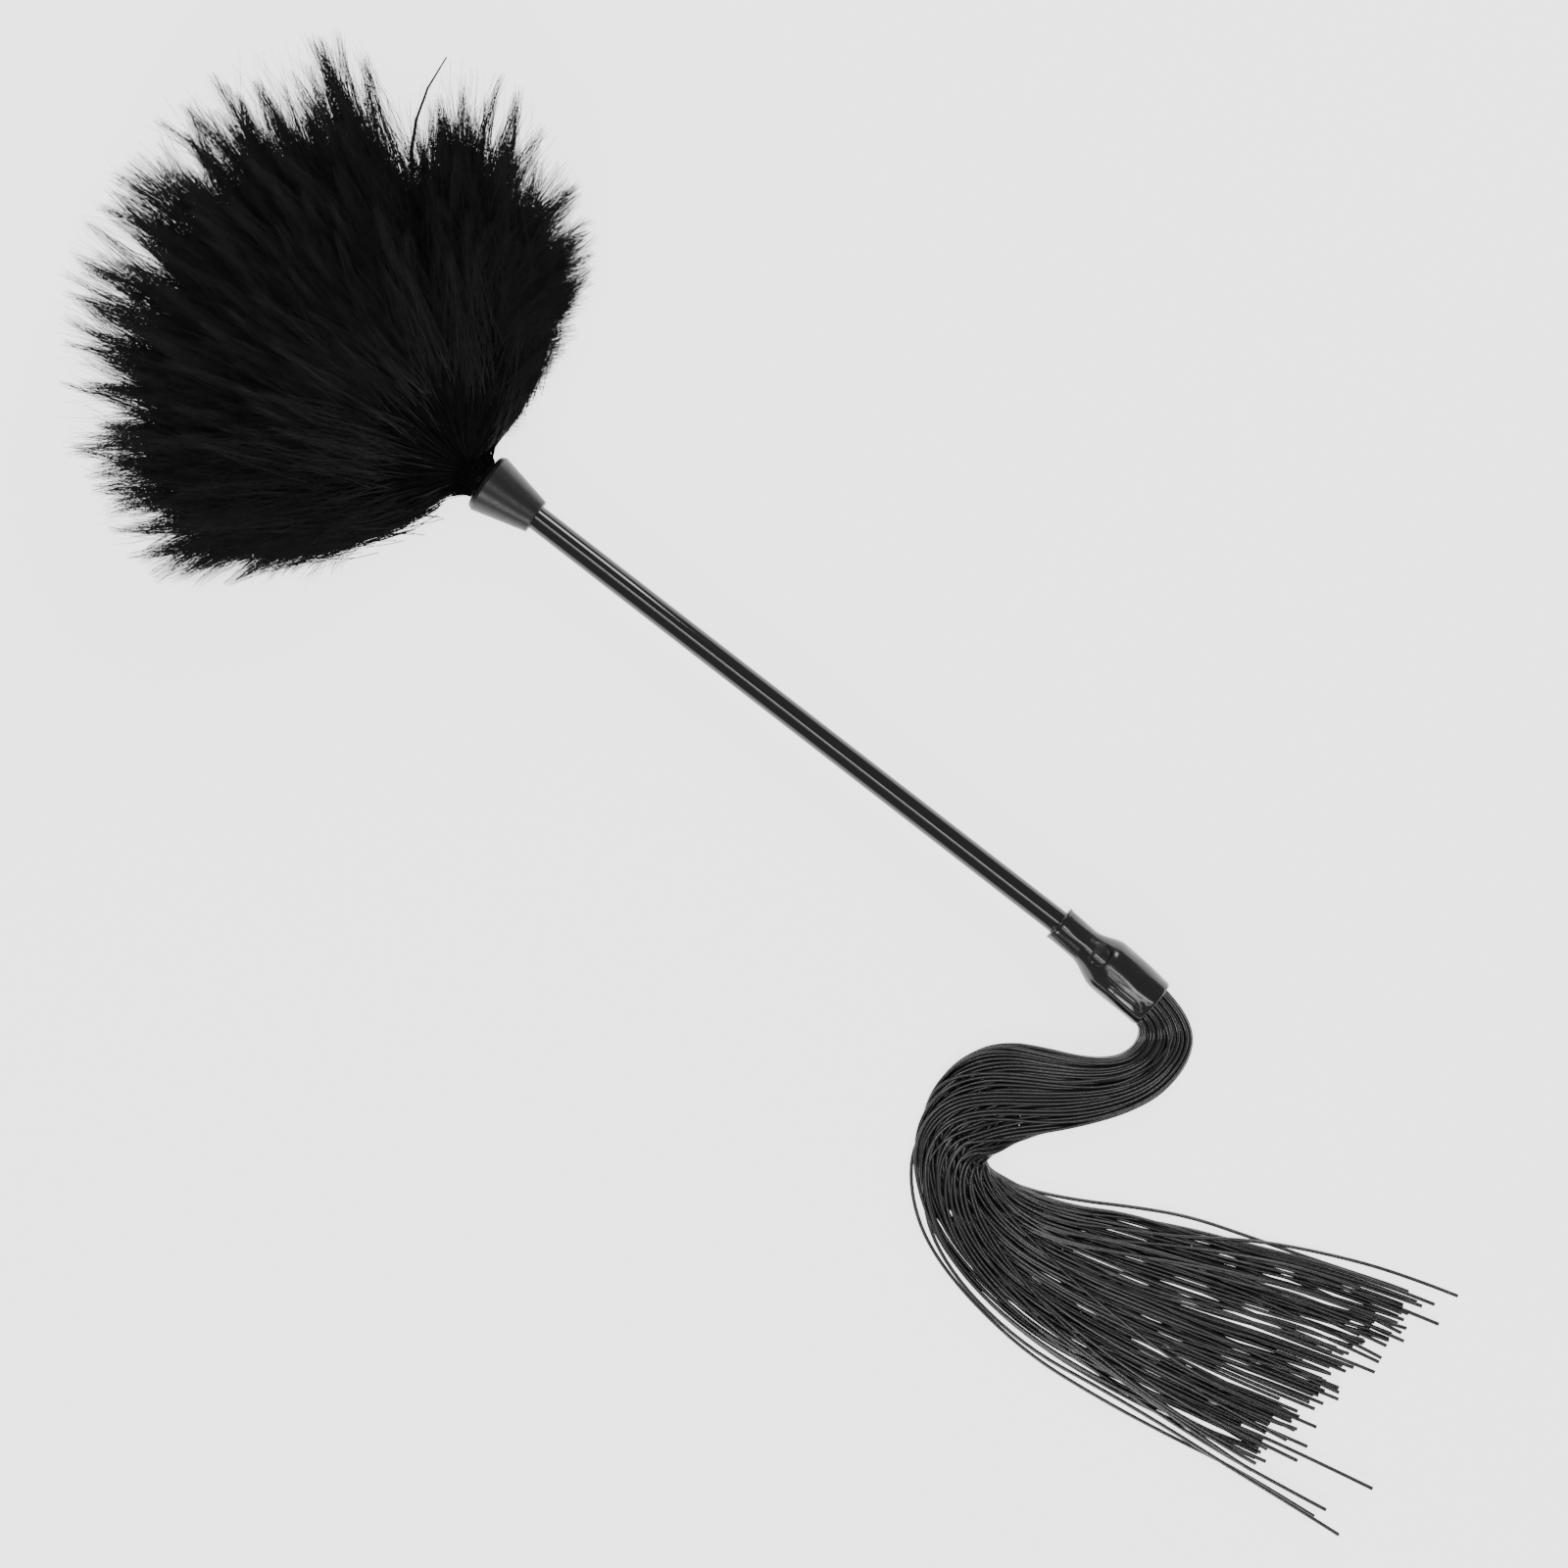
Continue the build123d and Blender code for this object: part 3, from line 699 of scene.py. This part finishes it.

# the down that comes out of the ferrule's mouth and hides the bound quills; it takes the darker copy of
# the down's colour, painted shade to match the self-shadowed down round it
NECK_HAIRS = 2600
NECK_SPREAD_R = 5.6
around = chance.uniform(0, 2 * pi, NECK_HAIRS)
outward = NECK_SPREAD_R * np.sqrt(chance.random(NECK_HAIRS)) + np.abs(chance.normal(0, 0.35, NECK_HAIRS))
out_of = rod_leaves_ferrule + plume_direction * (FAN_AT - 3.6)
mouth_side = Vector((0, 0, 1)).cross(plume_direction).normalized()
mouth_up = plume_direction.cross(mouth_side).normalized()
roots = np.array(out_of) + (outward * np.cos(around))[:, None] * np.array(mouth_side)
roots = roots + (outward * np.sin(around))[:, None] * np.array(mouth_up)
toward_a = 8 - 62 * outward * np.cos(around) / NECK_SPREAD_R + chance.normal(0, 9, NECK_HAIRS)
toward_a = np.clip(toward_a, -66, 80)
toward_e = 16 + 22 * outward * np.sin(around) / NECK_SPREAD_R + chance.normal(0, 5, NECK_HAIRS)
toward_e = np.clip(toward_e, -4, 46)
far = np.minimum(core_reach(toward_a) * 0.9, 26 + 22 * chance.random(NECK_HAIRS))
tips = ball_points(toward_a, toward_e, far)
t = np.linspace(0, 1, 6)[None, :, None]
leave = roots + np.array(plume_direction) * chance.uniform(2, 11, (NECK_HAIRS, 1))
centre = roots[:, None] * (1 - t) ** 2 + leave[:, None] * 2 * t * (1 - t) + tips[:, None] * t**2
vertices, faces = hair_skin(centre, np.full(NECK_HAIRS, 0.26))
neck_down = mesh_piece("down_neck", vertices, faces, shaded_down_material)

# the quills, which bend and thin out towards their tips; one bare stiff barb shows at the rim
for layer, azimuths, rise_0 in LAYERS:
    a = np.array(azimuths, dtype=float)
    e = np.full(len(a), rise_0)
    start = np.full(len(a), -14.0)
    stop = reach(a) * rise_share(e) * 0.7
    bend = chance.normal(0, 2.5, len(a))
    sag = np.full(len(a), -1.5)
    width = np.full(len(a), 1.25)
    if layer == "middle":
        a = np.append(a, 40.5)
        e = np.append(e, 7.0)
        start = np.append(start, 78.0)
        stop = np.append(stop, 120.0)
        bend = np.append(bend, 8.5)
        sag = np.append(sag, -1.0)
        width = np.append(width, 1.7)
    still = np.zeros(len(a))
    start = np.maximum(start, 3.0)
    vertices, faces = barbs(a, e, start, stop, (still, still), width, (bend, sag))
    piece = mesh_piece(f"rachis_{layer}", vertices, faces, quill_material)
    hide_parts(f"quills_{layer}")

# the dense heart of the plume, which no light comes through: a solid mass in the darker copy of the down's
# colour, painted shade
shares = np.linspace(0.004, 1, 40)
azimuth_line = np.linspace(-72, 90, 90)
top_grid_a, top_grid_s = np.meshgrid(azimuth_line, shares, indexing="ij")
edge = core_reach(top_grid_a) * 0.88
wobble = 1 + 0.05 * np.sin(top_grid_a * 0.9) + 0.03 * np.sin(top_grid_a * 2.3 + 1)
radius = edge * top_grid_s * wobble
thick = np.sin(np.clip(top_grid_s, 0, 1) ** 0.8 * pi) ** 0.7
side_fall = np.sqrt(np.clip(1 - ((top_grid_a - 9) / 84) ** 2, 0.02, 1))
height = 3.5 + 29 * thick * side_fall
grain = 1.2 * np.sin(top_grid_a * 1.7 + top_grid_s * 9)
grain = grain + 0.8 * np.sin(top_grid_a * 4.1 - top_grid_s * 23)
x = NECK.x - radius * np.cos(np.radians(top_grid_a))
y = NECK.y + radius * np.sin(np.radians(top_grid_a))
upper = np.stack([x, y, np.maximum(4.5 + height + grain * thick, 4.6)], axis=-1)
lower = np.stack([x, y, np.full_like(x, 2.2)], axis=-1)
across, down_count = top_grid_a.shape
core_vertices = np.concatenate([upper.reshape(-1, 3), lower.reshape(-1, 3)])
core_faces = []
half = across * down_count
for row in range(across - 1):
    for column in range(down_count - 1):
        a = row * down_count + column
        b = a + 1
        c = a + down_count + 1
        d = a + down_count
        core_faces.append((a, b, c, d))
        core_faces.append((half + a, half + d, half + c, half + b))
for row in range(across - 1):
    a = row * down_count
    d = a + down_count
    core_faces.append((a, d, half + d, half + a))
    a += down_count - 1
    d += down_count - 1
    core_faces.append((a, half + a, half + d, d))
for column in range(down_count - 1):
    a = column
    core_faces.append((a, half + a, half + a + 1, a + 1))
    a = (across - 1) * down_count + column
    core_faces.append((a, a + 1, half + a + 1, half + a))
core = mesh_piece("down_heart", core_vertices, core_faces, shaded_down_material)

# ---------------------------------------------------------------- floor and light
floor_data = bpy.data.meshes.new("floor")
FLOOR_HALF = 6  # m
FLOOR_Z = -0.0006
floor_corners = [(-1, -1), (1, -1), (1, 1), (-1, 1)]
floor_data.from_pydata(
    [(x * FLOOR_HALF, y * FLOOR_HALF, FLOOR_Z) for x, y in floor_corners],
    [],
    [(0, 1, 2, 3)],
)
floor_data.materials.append(floor_material)
floor = bpy.data.objects.new("floor", floor_data)
bpy.context.scene.collection.objects.link(floor)

world = bpy.data.worlds.new("studio")
world.use_nodes = True
world.node_tree.nodes["Background"].inputs["Color"].default_value = (1, 1, 1, 1)
world.node_tree.nodes["Background"].inputs["Strength"].default_value = 0.45
bpy.context.scene.world = world


def area_light(name, place, aim, size, size_y, power):
    data = bpy.data.lights.new(name, "AREA")
    data.shape = "RECTANGLE"
    data.size = size
    data.size_y = size_y
    data.energy = power
    light = bpy.data.objects.new(name, data)
    light.location = place
    facing = Vector(aim) - Vector(place)
    light.rotation_euler = facing.to_track_quat("-Z", "X").to_euler()
    bpy.context.scene.collection.objects.link(light)
    return light


area_light("left_bank", (-0.28, 1.36, 0.86), (-0.05, 0, 0), 0.5, 0.3, 7)
area_light("right_bank", (0.45, -1.2, 0.9), (-0.1, 0, 0), 0.4, 0.4, 7)
# two long tubes overhead, along the rod, which draw the thin lines on the rod and the strands
for name, across, width, power in (("strip", -0.03, 0.14, 10), ("second_strip", -0.38, 0.07, 4)):
    tube = area_light(name, (0.0, across, 1.9), (0, across, 0), 1.5, width, power)
    tube.rotation_euler = (0, 0, 0)
